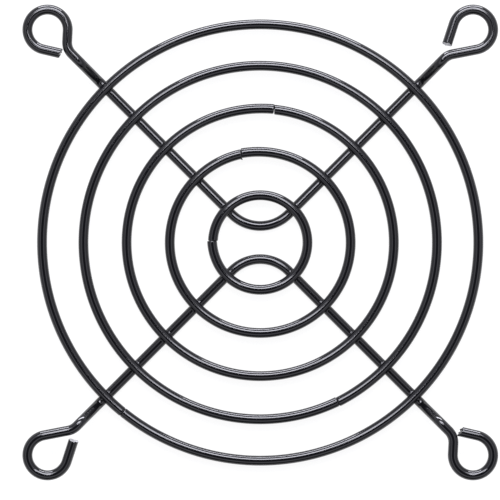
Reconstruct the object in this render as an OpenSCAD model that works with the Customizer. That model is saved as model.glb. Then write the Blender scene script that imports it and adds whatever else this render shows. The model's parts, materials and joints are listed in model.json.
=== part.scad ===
// Wire fan guard for an 80 mm fan.
// Five wire rings are welded across two support wires. Each support wire is a wide V, and each
// of its ends is kicked up to the fan's face and wound into an open eyelet for a screw.
// +Z points at the fan, and the guard lies on the undersides of its support wires.

/* [Mounting] */
// Distance between neighbouring screw holes
hole_pitch = 71.5; // [60:0.5:82.5]
// Clear diameter inside an eyelet
hole_d = 5.2; // [4.4:0.1:6]
// Height of the eyelets above the support wires, centre to centre
rise = 4.4; // [3:0.1:6]

/* [Wire] */
// Diameter of the coated wire
wire_d = 1.7; // [1.2:0.1:2.2]
// Depth that a ring sinks towards a support wire at each weld
weld_sink = 0.3; // [0.1:0.05:0.5]

/* [Rings] */
// Diameter of the inner ring, at the middle of its wire
inner_ring_d = 16; // [13:0.5:22]
// Step between the two outermost rings
rim_step = 7; // [5:0.1:8]
// Space between the outer ring and the kicks of the support wires
rim_gap = 0.3; // [0.1:0.1:1]
// Depth of the groove that is left round the butt weld of a ring
weld_groove = 0.15; // [0.05:0.05:0.3]
// Direction of the butt weld in the inner ring, anticlockwise from +X
inner_weld = 178; // [0:1:359]
// Direction of the butt weld in the second ring
second_weld = 102; // [0:1:359]
// Direction of the butt weld in the third ring
third_weld = 84; // [0:1:359]
// Direction of the butt weld in the fourth ring
fourth_weld = 296; // [0:1:359]
// Direction of the butt weld in the outer ring
outer_weld = 231; // [0:1:359]

/* [Support wires] */
// Bend radius at the point of the V
vertex_r = 6.8; // [5:0.1:9]
// Slope of the kicks
kick_angle = 48; // [40:1:60]
// Bend radius of the kicks
kick_r = 1.7; // [1.4:0.1:2]
// Straight wire between a kick and the nearest neck bend
neck_lead = 0.1; // [0.05:0.05:0.5]

/* [Eyelets] */
// Bend radius of the necks
neck_r = 2.8; // [2:0.1:3.4]
// Turn of the neck at a closed eyelet
closed_neck_turn = 48; // [42:1:54]
// Turn of the neck at an open eyelet
open_neck_turn = 34; // [30:1:40]
// Turn of the loop at a closed eyelet
closed_loop_turn = 260; // [250:1:264]
// Turn of the loop at an open eyelet
open_loop_turn = 241; // [232:1:248]
// Space between the tip of a closed eyelet and its neck
closed_tip_gap = 0.15; // [0.1:0.05:0.5]
// Space between the tip of an open eyelet and its neck
open_tip_gap = 0.55; // [0.3:0.05:1]
// Depth of the land that the winding mandrel presses into the inside of a loop
land = 0.06; // [0.03:0.01:0.1]
// Chamfer on the cut tips
tip_chamfer = 0.12; // [0.05:0.01:0.3]

/* [Hidden] */
$fn = 64;
coat = [0.16, 0.16, 0.17];

// Reach of straight wire into a bend, and the swelling of the bend that covers its end
splice = 0.08;
swell = 0.01;

wire_r = wire_d / 2;
hole_r = hole_d / 2;
// Radius of the wire's middle round an eyelet
loop_r = hole_r + wire_r - land;
// Distance of the screw holes from the middle of the guard
hole_reach = hole_pitch / sqrt(2);

// Straight wire between neck bend and loop that puts the hole on the line of the leg
function neck_run(turn) = (loop_r * cos(turn) - neck_r * (1 - cos(turn))) / sin(turn);
// Distance from the middle of the guard to the start of the neck bend
function neck_start(turn) = hole_reach - (neck_r + loop_r) * sin(turn) - neck_run(turn) * cos(turn);

kick_rise = 2 * kick_r * (1 - cos(kick_angle));
kick_slope = (rise - kick_rise) / sin(kick_angle);
kick_reach = 2 * kick_r * sin(kick_angle) + kick_slope * cos(kick_angle);
kick_end = min(neck_start(closed_neck_turn), neck_start(open_neck_turn)) - neck_lead;
kick_start = kick_end - kick_reach;

// Middle radii of the rings, from the inner ring to the outer ring
rim_r = kick_start - rim_gap - wire_r;
ring_step = (rim_r - rim_step - inner_ring_d / 2) / 3;
function ring_radius(index) = index == 4 ? rim_r : inner_ring_d / 2 + index * ring_step;
// Heights of the middle of the legs and of the rings
leg_z = wire_r + swell;
ring_z = leg_z + wire_d - weld_sink;

// Length of the tail of a loop, which ends where the edge of its cut stands gap clear of the neck.
// Seen along the leg, the neck bend turns round [neck_start, -neck_r], and the side of the neck
// that faces the tip is the envelope of the tangents at its turns from 0 to neck_turn.
function tail_run(neck_turn, loop_turn, gap) =
    let (heading = loop_turn - neck_turn)
    let (edge_x = hole_reach - neck_start(neck_turn) + (loop_r - wire_r) * sin(heading))
    let (edge_y = neck_r - (loop_r - wire_r) * cos(heading))
    max([for (turn = [0 : neck_turn / 12 : neck_turn])
        (edge_x * sin(turn) + edge_y * cos(turn) - neck_r - wire_r - gap) / -sin(turn + heading)]);

// Straight wire along +X, followed by the rest of the wire. It runs a little way into the bends
// on each side, which swell enough to hold it.
module run(length) {
    translate([-splice, 0, 0])
        rotate([0, 90, 0])
            cylinder(d = wire_d, h = length + 2 * splice);
    translate([length, 0, 0])
        children();
}

// Bend in the XY plane, to the left where the angle is positive, followed by the rest of the
// wire
module bend(radius, angle) {
    side = sign(angle);
    translate([0, side * radius, 0]) {
        rotate(-90 * side)
            rotate_extrude(angle = angle)
                translate([radius, 0])
                    circle(r = wire_r + swell);
        rotate(angle)
            translate([0, -side * radius, 0])
                children();
    }
}

// Bend in the XZ plane, upwards where the angle is positive, followed by the rest of the wire
module kick_bend(angle) {
    rotate([90, 0, 0])
        bend(kick_r, angle)
            rotate([-90, 0, 0])
                children();
}

// Cut end of the wire, with its edge chamfered
module tip(length) {
    rotate([0, 90, 0]) {
        translate([0, 0, -splice])
            cylinder(d = wire_d, h = length - tip_chamfer + splice);
        translate([0, 0, length - tip_chamfer])
            cylinder(d1 = wire_d, d2 = wire_d - 2 * tip_chamfer, h = tip_chamfer);
    }
}

// Leg of a support wire, along +X from the vertex bend to the kick
module leg() {
    translate([vertex_r, 0, leg_z])
        run(kick_start - vertex_r)
            children();
}

// Leg with its kick, neck, loop and tail. The mandrel that winds the loop leaves a land inside.
module eyelet_leg(neck_turn, loop_turn, gap) {
    difference() {
        leg()
            kick_bend(kick_angle)
                run(kick_slope)
                    kick_bend(-kick_angle)
                        run(neck_start(neck_turn) - kick_end)
                            bend(neck_r, -neck_turn)
                                run(neck_run(neck_turn))
                                    bend(loop_r, loop_turn)
                                        tip(tail_run(neck_turn, loop_turn, gap));
        translate([hole_reach, 0, leg_z + rise - wire_d])
            cylinder(r = hole_r, h = 2 * wire_d);
    }
}

// Vertex bend of a support wire, which opens towards +Y
module vertex() {
    translate([0, vertex_r * sqrt(2), leg_z])
        rotate(225)
            rotate_extrude(angle = 90)
                translate([vertex_r, 0])
                    circle(r = wire_r + swell);
}

// Whole support wire, with its legs at 45 and 135 degrees
module support_wire() {
    vertex();
    rotate(45)
        eyelet_leg(open_neck_turn, open_loop_turn, open_tip_gap);
    rotate(135)
        eyelet_leg(closed_neck_turn, closed_loop_turn, closed_tip_gap);
}

// Flat stretches of both support wires, which the rings are welded on
module seats() {
    for (side = [0, 180])
        rotate(side) {
            vertex();
            rotate(45)
                leg();
            rotate(135)
                leg();
        }
}

// Groove round a butt weld, on a wire along Z
module groove() {
    rotate_extrude()
        polygon([
            [wire_r - weld_groove, 0],
            [wire_r + weld_groove, 2 * weld_groove],
            [wire_r + weld_groove, -2 * weld_groove]
        ]);
}

// Wire bent round in a circle, whose ends are butt welded at +X. Its surface starts opposite
// the weld.
module welded_loop(radius) {
    difference() {
        rotate(180)
            rotate_extrude()
                translate([radius, 0])
                    circle(d = wire_d);
        translate([radius, 0, 0])
            rotate([90, 0, 0])
                groove();
    }
}

// Wire ring, notched where it is welded on the support wires
module ring(radius, weld) {
    difference() {
        translate([0, 0, ring_z])
            rotate(weld)
                welded_loop(radius);
        seats();
    }
}

module upper_support_wire() {
    color(coat)
        support_wire();
}

module lower_support_wire() {
    color(coat)
        rotate(180)
            support_wire();
}

module inner_ring() {
    color(coat)
        ring(ring_radius(0), inner_weld);
}

module second_ring() {
    color(coat)
        ring(ring_radius(1), second_weld);
}

module third_ring() {
    color(coat)
        ring(ring_radius(2), third_weld);
}

module fourth_ring() {
    color(coat)
        ring(ring_radius(3), fourth_weld);
}

module outer_ring() {
    color(coat)
        ring(ring_radius(4), outer_weld);
}

upper_support_wire();
lower_support_wire();
inner_ring();
second_ring();
third_ring();
fourth_ring();
outer_ring();
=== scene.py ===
"""Looks of a wire fan guard: five butt-welded wire rings on two bent support wires.

Every wire is swept again along its own middle line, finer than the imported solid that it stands
for, with weld fillets, cut ends and a glossy black coat. Lengths are in millimetres unless a
comment says otherwise, +Z points at the fan, and the middle of the guard is the origin.
"""

import json
import math

import bpy
from mathutils import Matrix, Vector, noise


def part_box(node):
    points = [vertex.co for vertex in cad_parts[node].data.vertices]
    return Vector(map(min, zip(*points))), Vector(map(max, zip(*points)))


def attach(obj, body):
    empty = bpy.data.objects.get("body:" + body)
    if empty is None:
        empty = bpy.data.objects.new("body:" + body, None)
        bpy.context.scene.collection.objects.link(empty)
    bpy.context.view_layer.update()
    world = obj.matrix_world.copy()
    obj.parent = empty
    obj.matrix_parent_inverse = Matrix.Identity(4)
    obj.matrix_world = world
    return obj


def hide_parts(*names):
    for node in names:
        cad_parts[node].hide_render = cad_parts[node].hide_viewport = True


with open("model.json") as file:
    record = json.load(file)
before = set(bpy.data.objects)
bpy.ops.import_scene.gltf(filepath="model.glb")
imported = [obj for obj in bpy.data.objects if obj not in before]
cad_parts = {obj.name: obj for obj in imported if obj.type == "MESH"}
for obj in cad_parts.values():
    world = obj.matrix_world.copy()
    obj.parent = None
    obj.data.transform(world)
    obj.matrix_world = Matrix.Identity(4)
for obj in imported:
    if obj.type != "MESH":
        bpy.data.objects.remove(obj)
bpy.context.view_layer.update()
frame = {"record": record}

MM = 0.001
UP = Vector((0, 0, 1))

# ---------------------------------------------------------------------- sizes taken from the frame


def box_mm(node):
    """Lowest and highest corner of a CAD node."""
    low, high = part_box(node)
    return Vector(low) / MM, Vector(high) / MM


RING_NODES = ["inner_ring", "second_ring", "third_ring", "fourth_ring", "outer_ring"]
RIM_LOW, RIM_HIGH = box_mm("outer_ring")
# Radius of the coated wire, height of the middle of the rings, and radius of each ring
WIRE_R = (RIM_HIGH.z - RIM_LOW.z) / 2
RING_Z = (RIM_HIGH.z + RIM_LOW.z) / 2
RING_R = {node: box_mm(node)[1].y - WIRE_R for node in RING_NODES}

# The four screw holes are alike and equally far from the middle of the guard
HOLE = frame["record"]["mounts"][0]
HOLE_REACH = math.hypot(*HOLE["pos_m"][:2]) / MM
HOLE_R = HOLE["dims"]["r_mm"]
EYELET_Z = HOLE["pos_m"][2] / MM

# ------------------------------------------------------------- driving sizes shared with part.scad

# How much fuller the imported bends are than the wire, which lifts the legs by as much
BEND_SWELL = 0.01
VERTEX_R = 6.8
KICK_ANGLE = math.radians(48)
KICK_R = 1.7
# Straight wire between a kick and the nearest neck bend
NECK_LEAD = 0.1
NECK_R = 2.8
# Depth of the land that the winding mandrel presses into the inside of a loop
LAND = 0.06

LEG_Z = WIRE_R + BEND_SWELL
RISE = EYELET_Z - LEG_Z
LOOP_R = HOLE_R + WIRE_R - LAND
# Directions of the legs, whose eyelets are open and closed by turns
LEG_DIRECTIONS = [math.radians(45 + 90 * quarter) for quarter in range(4)]

# Direction of each ring's butt weld, anticlockwise from +X in degrees, and how far the two ends
# there spring outwards, the end on the anticlockwise side of the weld first
RING_WELDS = {
    "inner_ring": (178, 0.15, 0.0),
    "second_ring": (102, 0.0, 0.13),
    "third_ring": (84, 0.09, 0.0),
    "fourth_ring": (296, 0.1, 0.0),
    "outer_ring": (231, 0.0, 0.03),
}


class Eyelet:
    """The turns of one kind of eyelet, and the lengths that follow from them."""

    def __init__(self, neck_turn, loop_turn, tip_gap):
        self.neck = math.radians(neck_turn)
        self.loop = math.radians(loop_turn)
        cos, sin = math.cos(self.neck), math.sin(self.neck)
        self.neck_run = (LOOP_R * cos - NECK_R * (1 - cos)) / sin
        self.neck_start = HOLE_REACH - (NECK_R + LOOP_R) * sin - self.neck_run * cos
        self.tail = self.tail_run(tip_gap)

    def tail_run(self, gap, samples=12):
        """Length of the tail whose cut stands gap clear of the side of the neck."""
        heading = self.loop - self.neck
        inside_r = LOOP_R - WIRE_R
        edge_x = HOLE_REACH - self.neck_start + inside_r * math.sin(heading)
        edge_y = NECK_R - inside_r * math.cos(heading)
        runs = []
        for sample in range(samples + 1):
            turn = self.neck * sample / samples
            reach = edge_x * math.sin(turn) + edge_y * math.cos(turn) - NECK_R - WIRE_R - gap
            runs.append(reach / -math.sin(turn + heading))
        return max(runs)


OPEN = Eyelet(neck_turn=34, loop_turn=241, tip_gap=0.55)
CLOSED = Eyelet(neck_turn=48, loop_turn=260, tip_gap=0.15)

KICK_SLOPE = (RISE - 2 * KICK_R * (1 - math.cos(KICK_ANGLE))) / math.sin(KICK_ANGLE)
KICK_REACH = 2 * KICK_R * math.sin(KICK_ANGLE) + KICK_SLOPE * math.cos(KICK_ANGLE)
KICK_END = min(OPEN.neck_start, CLOSED.neck_start) - NECK_LEAD
KICK_START = KICK_END - KICK_REACH

# -------------------------------------------------------------------- fineness, welds and cut ends

# Space between the sections of a wire, and the corners of a section
STEP = 0.18
SIDES = 40
# Sections that round the edge of a cut, and the least space from them to the next section
ROUND_STEPS = 4
ROUND_SPACE = 0.02

# Width over which a weld fillet blends two wires, and how far from the middle of the other wire
# a section still has one
FILLET = 0.26
FILLET_REACH = 3.2
# Steps that look for the height of a fillet, and the error that ends them
FILLET_TRIES = 12
FILLET_TOLERANCE = 0.002

# Rounding of the edges that meet in a butt weld, overlap of the two ends there, and the arc in
# radians over which they spring out
WELD_ROUND = 0.19
WELD_OVERLAP = 0.015
SPRING_ARC = 0.5
# How much a butt weld gapes on the inside of its ring, for each millimetre off the middle of the
# wire, and the length of the flash that hangs there
RING_WELD_FLAWS = {
    "second_ring": (0.0, 0.32),
    "third_ring": (0.06, 0.0),
}
# Width of the flash along the ring, and the power that gives it its point
FLASH_WIDTH = 0.3
FLASH_POINT = 24

# Length of wire that a slanting cut draws along, and how often its burr changes in a millimetre
CUT_DRAW = 1.6
BURR_SCALE = 3.1
# A closed tip is cut longer towards the hole and below, an open tip below only, so that its
# face shows a little from above. Slants are for each millimetre off the middle of the wire.
CLOSED_TIP_ROUND = 0.13
CLOSED_SLANT_INWARD = 0.36
CLOSED_SLANT_DOWN = 0.1
CLOSED_BURR = 0.3
# How much shorter a closed tip is than its tail, which keeps its slant clear of the neck
CLOSED_TRIM = 0.12
OPEN_TIP_ROUND = 0.07
OPEN_SLANT_DOWN = 0.2
OPEN_BURR = 0.16

# ------------------------------------------------------------------------------------ middle lines


def flat_direction(angle):
    """Level direction at an angle anticlockwise from +X."""
    return Vector((math.cos(angle), math.sin(angle), 0))


class Walker:
    """Walks along the middle of a bent wire and keeps the points and headings it passes."""

    def __init__(self, place, heading):
        self.place = Vector(place)
        self.heading = Vector(heading).normalized()
        self.points = [self.place.copy()]
        self.tangents = [self.heading.copy()]

    def note(self):
        """Keeps the present point and heading."""
        self.points.append(self.place.copy())
        self.tangents.append(self.heading.copy())

    def run(self, length):
        """Walks straight on."""
        steps = max(1, round(length / STEP))
        for _ in range(steps):
            self.place = self.place + self.heading * (length / steps)
            self.note()

    def bend(self, radius, angle, axis):
        """Turns by angle about axis, which is square to the heading."""
        centre = self.place + axis.cross(self.heading) * math.copysign(radius, angle)
        steps = max(2, round(radius * abs(angle) / STEP))
        turn = Matrix.Rotation(angle / steps, 3, axis)
        for _ in range(steps):
            self.place = centre + turn @ (self.place - centre)
            self.heading = (turn @ self.heading).normalized()
            self.note()


def walk_leg(walker, eyelet):
    """From the vertex bend out along a leg, up its kick and round its eyelet."""
    aside = UP.cross(walker.heading)
    walker.run(KICK_START - VERTEX_R)
    walker.bend(KICK_R, -KICK_ANGLE, aside)
    walker.run(KICK_SLOPE)
    walker.bend(KICK_R, KICK_ANGLE, aside)
    walker.run(eyelet.neck_start - KICK_END)
    walker.bend(NECK_R, -eyelet.neck, UP)
    walker.run(eyelet.neck_run)
    walker.bend(LOOP_R, eyelet.loop, UP)
    walker.run(eyelet.tail)


def support_line(spin):
    """Points and tangents of a support wire, from the tip of its closed eyelet to its open one."""
    legs = []
    for angle, eyelet in zip(LEG_DIRECTIONS, (OPEN, CLOSED)):
        out = flat_direction(angle)
        leg = Walker(out * VERTEX_R + UP * LEG_Z, out)
        walk_leg(leg, eyelet)
        legs.append(leg)
    open_leg, closed_leg = legs
    vertex = Walker(closed_leg.points[0], -closed_leg.tangents[0])
    vertex.bend(VERTEX_R, math.radians(90), UP)
    points = closed_leg.points[::-1] + vertex.points[1:-1] + open_leg.points
    tangents = [-tangent for tangent in closed_leg.tangents[::-1]]
    tangents += vertex.tangents[1:-1] + open_leg.tangents
    turn = Matrix.Rotation(spin, 3, "Z")
    return [turn @ point for point in points], [turn @ tangent for tangent in tangents]


def ring_line(radius, weld, spring_start, spring_end):
    """Points and tangents of a ring, once round from its butt weld to the weld again."""
    overlap = WELD_OVERLAP / radius
    sweep = 2 * math.pi + overlap
    steps = round(radius * sweep / STEP)
    points, tangents = [], []
    for step in range(steps + 1):
        turned = sweep * step / steps
        near_start = max(0, 1 - turned / SPRING_ARC)
        near_end = max(0, 1 - (sweep - turned) / SPRING_ARC)
        reach = radius + spring_start * near_start**2 + spring_end * near_end**2
        slope = 2 * (spring_end * near_end - spring_start * near_start) / SPRING_ARC / radius
        out = flat_direction(math.radians(weld) - overlap / 2 + turned)
        points.append(out * reach + UP * RING_Z)
        tangents.append((UP.cross(out) + out * slope).normalized())
    return points, tangents


# ------------------------------------------------------------------------------------ weld fillets


def smooth_union(a, b, width):
    """Blend of two distances, which rounds the corner between two bodies by width."""
    overlap = max(width - abs(a - b), 0) / width
    return min(a, b) - overlap * overlap * width / 4


def leg_distance(point):
    """Distance of a point from the surface of the nearest straight leg."""
    nearest = math.inf
    for out in map(flat_direction, LEG_DIRECTIONS):
        along = point.x * out.x + point.y * out.y
        if along >= VERTEX_R:
            away = Vector((point.x - out.x * along, point.y - out.y * along, point.z - LEG_Z))
            nearest = min(nearest, away.length - WIRE_R)
    return nearest


def ring_distance(point):
    """Distance of a point from the surface of the nearest ring."""
    flat = math.hypot(point.x, point.y)
    return min(math.hypot(flat - r, point.z - RING_Z) for r in RING_R.values()) - WIRE_R


def fillet_height(middle, outward, other_distance):
    """How far a wire's surface swells along outward to meet the weld fillet of another wire."""
    height = 0.0
    if other_distance(middle + outward * WIRE_R) < 0:
        return height
    for _ in range(FILLET_TRIES):
        other = other_distance(middle + outward * (WIRE_R + height))
        gap = smooth_union(height, other, FILLET)
        height -= gap
        if gap > -FILLET_TOLERANCE or height > FILLET:
            break
    return min(height, FILLET)


# ---------------------------------------------------------------------------------------- cut ends


class Cut:
    """Cut end of a wire, whose edge is rounded.

    lean draws it out for each millimetre off the middle of the wire, burr roughens it, trim
    shortens it, and flash hangs from its edge. bare leaves it without a coat.
    """

    def __init__(self, rounding, lean=None, burr=0.0, trim=0.0, flash=None, bare=False):
        self.rounding = rounding
        self.lean = lean or Vector((0, 0, 0))
        self.burr = burr
        self.trim = trim
        self.flash = flash or Vector((0, 0, 0))
        self.bare = bare

    def profile(self):
        """Distances from the end, and radii, of the sections that round its edge."""
        rows = []
        for step in range(ROUND_STEPS + 1):
            angle = math.pi / 2 * step / ROUND_STEPS
            rows.append((
                self.rounding * (1 - math.cos(angle)),
                WIRE_R - self.rounding * (1 - math.sin(angle)),
            ))
        return rows

    def push(self, offset, centre, distance):
        """How far a point of the wire is drawn out of the end, at a distance from it."""
        near = max(0, 1 - distance / CUT_DRAW) ** 2
        rough = noise.noise((centre + offset) * BURR_SCALE) * self.burr
        return near * (self.lean.dot(offset) + rough - self.trim)

    def hang(self, outward, distance):
        """How far the flash stands out of the wire, at a distance from the end."""
        near = max(0, 1 - distance / FLASH_WIDTH)
        facing = max(0, outward.dot(self.flash.normalized()))
        return self.flash * near * facing**FLASH_POINT


def closed_cut(heading):
    """Slanting cut of a closed eyelet, whose heading leads out of the wire."""
    lean = UP.cross(heading) * CLOSED_SLANT_INWARD - UP * CLOSED_SLANT_DOWN
    return Cut(CLOSED_TIP_ROUND, lean=lean, burr=CLOSED_BURR, trim=CLOSED_TRIM)


def open_cut():
    """Cut of an open eyelet, of bare steel."""
    return Cut(OPEN_TIP_ROUND, lean=UP * -OPEN_SLANT_DOWN, burr=OPEN_BURR, bare=True)


def weld_cuts(node, tangents):
    """The two ends of a ring, which meet in its butt weld."""
    out = tangents[0].cross(UP)
    gape, flash = RING_WELD_FLAWS.get(node, (0, 0))
    # Takes back a third of what the gape draws out on the outside of the ring
    trim = gape * WIRE_R / 3
    return (
        Cut(WELD_ROUND, lean=out * gape, trim=trim, flash=out * -flash),
        Cut(WELD_ROUND, lean=out * gape, trim=trim),
    )


# ------------------------------------------------------------------------------------- swept wires


def frames_along(tangents):
    """Two directions across the wire at each point, carried along without twisting."""
    side = tangents[0].cross(UP).normalized()
    across = []
    for tangent in tangents:
        side = (side - tangent * side.dot(tangent)).normalized()
        across.append((side.copy(), tangent.cross(side)))
    return across


def wire_sections(points, tangents, cuts):
    """Centre, cross directions, tangent, radius and distance along the wire of every section."""
    across = frames_along(tangents)
    passed = [0.0]
    for before, after in zip(points, points[1:]):
        passed.append(passed[-1] + (after - before).length)
    total = passed[-1]
    first = cuts[0].rounding + ROUND_SPACE
    last = total - cuts[1].rounding - ROUND_SPACE
    rows = []
    for distance, radius in cuts[0].profile():
        rows.append((points[0] + tangents[0] * distance, across[0], tangents[0], radius, distance))
    for index, distance in enumerate(passed):
        if first < distance < last:
            rows.append((points[index], across[index], tangents[index], WIRE_R, distance))
    for distance, radius in cuts[1].profile()[::-1]:
        place = points[-1] - tangents[-1] * distance
        rows.append((place, across[-1], tangents[-1], radius, total - distance))
    return rows, total


def tube_points(rows, total, cuts, other_distance):
    """Points of the tube's surface in metres, and where each lies round and along the wire."""
    verts, places = [], []
    for centre, pair, tangent, radius, distance in rows:
        whole = radius == WIRE_R
        near_weld = whole and other_distance(centre) < FILLET_REACH - WIRE_R
        for side in range(SIDES):
            angle = 2 * math.pi * side / SIDES
            outward = pair[0] * math.cos(angle) + pair[1] * math.sin(angle)
            swell = fillet_height(centre, outward, other_distance) if near_weld else 0.0
            offset = outward * (radius + swell)
            drawn = cuts[1].push(offset, centre, total - distance)
            drawn -= cuts[0].push(offset, centre, distance)
            offset += cuts[0].hang(outward, distance) + cuts[1].hang(outward, total - distance)
            verts.append((centre + offset + tangent * drawn) * MM)
            places.append((math.cos(angle), math.sin(angle), distance * STREAK_RUN))
    return verts, places


def tube_faces(count):
    """Faces between the neighbouring sections of a tube with count points."""
    faces = []
    for low in range(0, count - SIDES, SIDES):
        for side in range(SIDES):
            after = (side + 1) % SIDES
            faces.append((low + side, low + after, low + SIDES + after, low + SIDES + side))
    return faces


def end_faces(first, middle, step):
    """Faces from the rim that starts at point first to the point in its middle."""
    faces = []
    for side in range(SIDES):
        pair = (first + side, first + (side + 1) % SIDES)
        faces.append((middle, *pair[::step]))
    return faces


def wire_mesh(name, points, tangents, cuts, other_distance):
    """Tube round a middle line, with cut ends and a fillet at each weld."""
    rows, total = wire_sections(points, tangents, cuts)
    verts, places = tube_points(rows, total, cuts, other_distance)
    faces = tube_faces(len(verts))
    materials = [0] * len(faces)
    smooth = [True] * len(faces)
    last = len(verts) - SIDES
    for first, step, cut in ((0, -1, cuts[0]), (last, 1, cuts[1])):
        rim = verts[first:first + SIDES]
        faces += end_faces(first, len(verts), step)
        materials += [int(cut.bare)] * SIDES
        smooth += [False] * SIDES
        verts.append(sum(rim, Vector()) / SIDES)
        places.append((0.0, 0.0, 0.0))

    mesh = bpy.data.meshes.new(name)
    mesh.from_pydata(verts, [], faces)
    mesh.polygons.foreach_set("material_index", materials)
    mesh.polygons.foreach_set("use_smooth", smooth)
    attribute = mesh.attributes.new("wire_place", "FLOAT_VECTOR", "POINT")
    attribute.data.foreach_set("vector", [value for place in places for value in place])
    piece = bpy.data.objects.new(name, mesh)
    bpy.context.collection.objects.link(piece)
    return piece


# --------------------------------------------------------------------------------------- materials

COAT_COLOUR = (0.0045, 0.0045, 0.0056, 1)
COAT_ROUGHNESS = 0.09
COAT_IOR = 1.6
# Streaks that drawing leaves along a wire. Their texture counts the wire's surface as a circle
# of radius 1 and a millimetre along it as STREAK_RUN, and their height is in metres.
STREAK_SCALE = 5.0
STREAK_RUN = 0.008
STREAK_HEIGHT = 3.0e-6
# Orange peel of the coat: its waves in a metre, and their height in metres
PEEL_SCALE = 2500
PEEL_HEIGHT = 1.2e-6

STEEL_COLOUR = (0.7, 0.7, 0.72, 1)
STEEL_METALLIC = 0.5
STEEL_ROUGHNESS = 0.5
# Torn face of sheared steel: its waves in a metre, and their height in metres
SHEAR_SCALE = 4000
SHEAR_HEIGHT = 1.0e-5

# What the floor gives back of the light on it, and the glow that lifts it to white for the
# camera, in reflections and through glass
FLOOR_COLOUR = (0.16, 0.16, 0.16, 1)
FLOOR_GLOW = 0.9


def new_material(name):
    """Material with its nodes and links."""
    material = bpy.data.materials.new(name)
    material.use_nodes = True
    return material, material.node_tree.nodes, material.node_tree.links


def add_noise(nodes, links, place, scale, detail):
    """Noise texture laid out by a place."""
    texture = nodes.new("ShaderNodeTexNoise")
    texture.inputs["Scale"].default_value = scale
    texture.inputs["Detail"].default_value = detail
    links.new(place, texture.inputs["Vector"])
    return texture.outputs["Fac"]


def add_bump(nodes, links, height, distance, under=None):
    """Bump of a height in metres, on top of another bump."""
    bump = nodes.new("ShaderNodeBump")
    bump.inputs["Strength"].default_value = 1.0
    bump.inputs["Distance"].default_value = distance
    links.new(height, bump.inputs["Height"])
    if under:
        links.new(under, bump.inputs["Normal"])
    return bump.outputs["Normal"]


def coat_material():
    """Thin glossy black coat over drawn wire, whose streaks show through it."""
    material, nodes, links = new_material("black_coat")
    shader = nodes["Principled BSDF"]
    shader.inputs["Base Color"].default_value = COAT_COLOUR
    shader.inputs["Roughness"].default_value = COAT_ROUGHNESS
    shader.inputs["IOR"].default_value = COAT_IOR
    wire_place = nodes.new("ShaderNodeAttribute")
    wire_place.attribute_name = "wire_place"
    place = nodes.new("ShaderNodeTexCoord")
    streaks = add_noise(nodes, links, wire_place.outputs["Vector"], STREAK_SCALE, 2)
    peel = add_noise(nodes, links, place.outputs["Object"], PEEL_SCALE, 1)
    drawn = add_bump(nodes, links, streaks, STREAK_HEIGHT)
    peeled = add_bump(nodes, links, peel, PEEL_HEIGHT, drawn)
    links.new(peeled, shader.inputs["Normal"])
    return material


def bare_material():
    """Sheared steel of a cut end."""
    material, nodes, links = new_material("bare_cut")
    shader = nodes["Principled BSDF"]
    shader.inputs["Base Color"].default_value = STEEL_COLOUR
    shader.inputs["Metallic"].default_value = STEEL_METALLIC
    shader.inputs["Roughness"].default_value = STEEL_ROUGHNESS
    place = nodes.new("ShaderNodeTexCoord")
    shear = add_noise(nodes, links, place.outputs["Object"], SHEAR_SCALE, 2)
    links.new(add_bump(nodes, links, shear, SHEAR_HEIGHT), shader.inputs["Normal"])
    return material


def add_math(nodes, links, operation, first, second):
    """Sum or product of two values, of which the second may be a constant."""
    node = nodes.new("ShaderNodeMath")
    node.operation = operation
    links.new(first, node.inputs[0])
    if isinstance(second, float):
        node.inputs[1].default_value = second
    else:
        links.new(second, node.inputs[1])
    return node.outputs[0]


def floor_material():
    """Matt pale floor with a glow, which leaves only the deepest part of the shadow."""
    material, nodes, links = new_material("floor_white")
    nodes.clear()
    output = nodes.new("ShaderNodeOutputMaterial")
    matt = nodes.new("ShaderNodeBsdfDiffuse")
    matt.inputs["Color"].default_value = FLOOR_COLOUR
    glow = nodes.new("ShaderNodeEmission")
    both = nodes.new("ShaderNodeAddShader")
    ray = nodes.new("ShaderNodeLightPath").outputs
    indirect = add_math(nodes, links, "ADD", ray["Is Glossy Ray"], ray["Is Transmission Ray"])
    seen = add_math(nodes, links, "ADD", ray["Is Camera Ray"], indirect)
    strength = add_math(nodes, links, "MULTIPLY", seen, FLOOR_GLOW)
    links.new(strength, glow.inputs["Strength"])
    links.new(matt.outputs[0], both.inputs[0])
    links.new(glow.outputs[0], both.inputs[1])
    links.new(both.outputs[0], output.inputs["Surface"])
    return material


# ---------------------------------------------------------------------------------------- the part


def make_part():
    """The seven wires, each in the place of its CAD node."""
    lines = []
    for node, spin in (("upper_support_wire", 0), ("lower_support_wire", math.pi)):
        points, tangents = support_line(spin)
        cuts = (closed_cut(-tangents[0]), open_cut())
        lines.append((node, points, tangents, cuts, ring_distance))
    for node in RING_NODES:
        points, tangents = ring_line(RING_R[node], *RING_WELDS[node])
        lines.append((node, points, tangents, weld_cuts(node, tangents), leg_distance))
    coat, bare = coat_material(), bare_material()
    for node, points, tangents, cuts, other_distance in lines:
        piece = wire_mesh(node + "_coated", points, tangents, cuts, other_distance)
        piece.data.materials.append(coat)
        piece.data.materials.append(bare)
        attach(piece, "root")
        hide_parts(node)


# ------------------------------------------------------------------------- camera, floor and light

# The camera looks straight down, and the view is as wide as this at the height of the rings
CAMERA_PLACE = Vector((-1.726, -1.269, 448))
VIEW_WIDTH = 84.6
SENSOR_WIDTH = 36
CLIP_START = 10
FLOOR_HALF = 3000

# Blue of the studio light, against 1 for white
LIGHT_BLUE = 1.1
# Softboxes: name, place, width and height, and brightness against 1 for white
LAMPS = [
    ("key", (0, 400, 600), (380, 260), 6.5),
    ("key_sides", (0, 440, 660), (700, 270), 4.5),
    ("left", (-110, 165, 600), (60, 170), 10.0),
    ("right", (110, 165, 600), (60, 170), 10.0),
    ("low", (0, 700, 75), (700, 148), 18.0),
]
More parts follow.
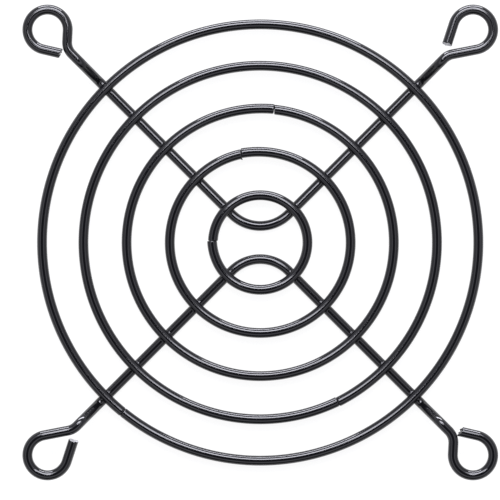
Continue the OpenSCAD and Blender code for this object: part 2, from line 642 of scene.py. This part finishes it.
# Brightness of the studio against the height of the direction: 0 at the horizon, 1 overhead,
# where the camera leaves a dark spot
STUDIO_HEIGHTS = [
    (0.0, 0.6),
    (0.26, 0.55),
    (0.45, 0.42),
    (0.6, 0.45),
    (0.72, 0.8),
    (0.8, 1.1),
    (0.87, 0.75),
    (0.91, 0.1),
    (0.94, 0.02),
]
# Share of that brightness against the direction along Y: 0 at -Y, where the studio is dark, and
# 1 at +Y
STUDIO_SIDES = [(0.0, 0.0), (0.03, 0.1), (0.12, 1.0), (1.0, 1.0)]


def make_camera():
    """Camera straight above the guard."""
    data = bpy.data.cameras.new("camera")
    data.sensor_width = SENSOR_WIDTH
    data.lens = SENSOR_WIDTH * (CAMERA_PLACE.z - RING_Z) / VIEW_WIDTH
    data.clip_start = CLIP_START * MM
    camera = bpy.data.objects.new("camera", data)
    camera.location = CAMERA_PLACE * MM
    bpy.context.collection.objects.link(camera)
    bpy.context.scene.camera = camera


def make_floor():
    """Floor that the guard lies on."""
    mesh = bpy.data.meshes.new("floor")
    half = FLOOR_HALF * MM
    corners = [(-half, -half, 0), (half, -half, 0), (half, half, 0), (-half, half, 0)]
    mesh.from_pydata(corners, [], [(0, 1, 2, 3)])
    floor = bpy.data.objects.new("floor", mesh)
    floor.data.materials.append(floor_material())
    bpy.context.collection.objects.link(floor)


def area_light(name, place, size, brightness):
    """Softbox that faces the middle of the guard."""
    data = bpy.data.lights.new(name, "AREA")
    data.shape = "RECTANGLE"
    data.size = size[0] * MM
    data.size_y = size[1] * MM
    data.color = (1, 1, LIGHT_BLUE)
    data.energy = brightness * math.pi * data.size * data.size_y
    light = bpy.data.objects.new(name, data)
    light.location = Vector(place) * MM
    light.rotation_mode = "QUATERNION"
    light.rotation_quaternion = (-light.location).to_track_quat("-Z", "Y")
    light.visible_camera = False
    bpy.context.collection.objects.link(light)


def add_ramp(nodes, stops, interpolation):
    """Ramp through stops, which are pairs of place and brightness."""
    ramp = nodes.new("ShaderNodeValToRGB")
    ramp.color_ramp.interpolation = interpolation
    elements = ramp.color_ramp.elements
    for index, (place, value) in enumerate(stops):
        element = elements[index] if index < 2 else elements.new(place)
        element.position = place
        element.color = (value, value, value, 1)
    return ramp


def make_world():
    """Studio round the guard, which its coat reflects."""
    world = bpy.data.worlds.new("studio")
    world.use_nodes = True
    nodes, links = world.node_tree.nodes, world.node_tree.links
    direction = nodes.new("ShaderNodeTexCoord")
    parts = nodes.new("ShaderNodeSeparateXYZ")
    along = nodes.new("ShaderNodeMapRange")
    along.inputs["From Min"].default_value = -1.0
    heights = add_ramp(nodes, STUDIO_HEIGHTS, "EASE")
    sides = add_ramp(nodes, STUDIO_SIDES, "LINEAR")
    links.new(direction.outputs["Generated"], parts.inputs[0])
    links.new(parts.outputs["Z"], heights.inputs[0])
    links.new(parts.outputs["Y"], along.inputs["Value"])
    links.new(along.outputs["Result"], sides.inputs[0])
    both = add_math(nodes, links, "MULTIPLY", heights.outputs["Color"], sides.outputs["Color"])
    links.new(both, nodes["Background"].inputs["Strength"])
    nodes["Background"].inputs["Color"].default_value = (1, 1, LIGHT_BLUE, 1)
    bpy.context.scene.world = world


def make_stage():
    """Camera, floor and light round the guard."""
    make_camera()
    make_floor()
    make_world()
    for lamp in LAMPS:
        area_light(*lamp)
    bpy.context.scene.view_settings.view_transform = "Standard"


make_stage()
make_part()
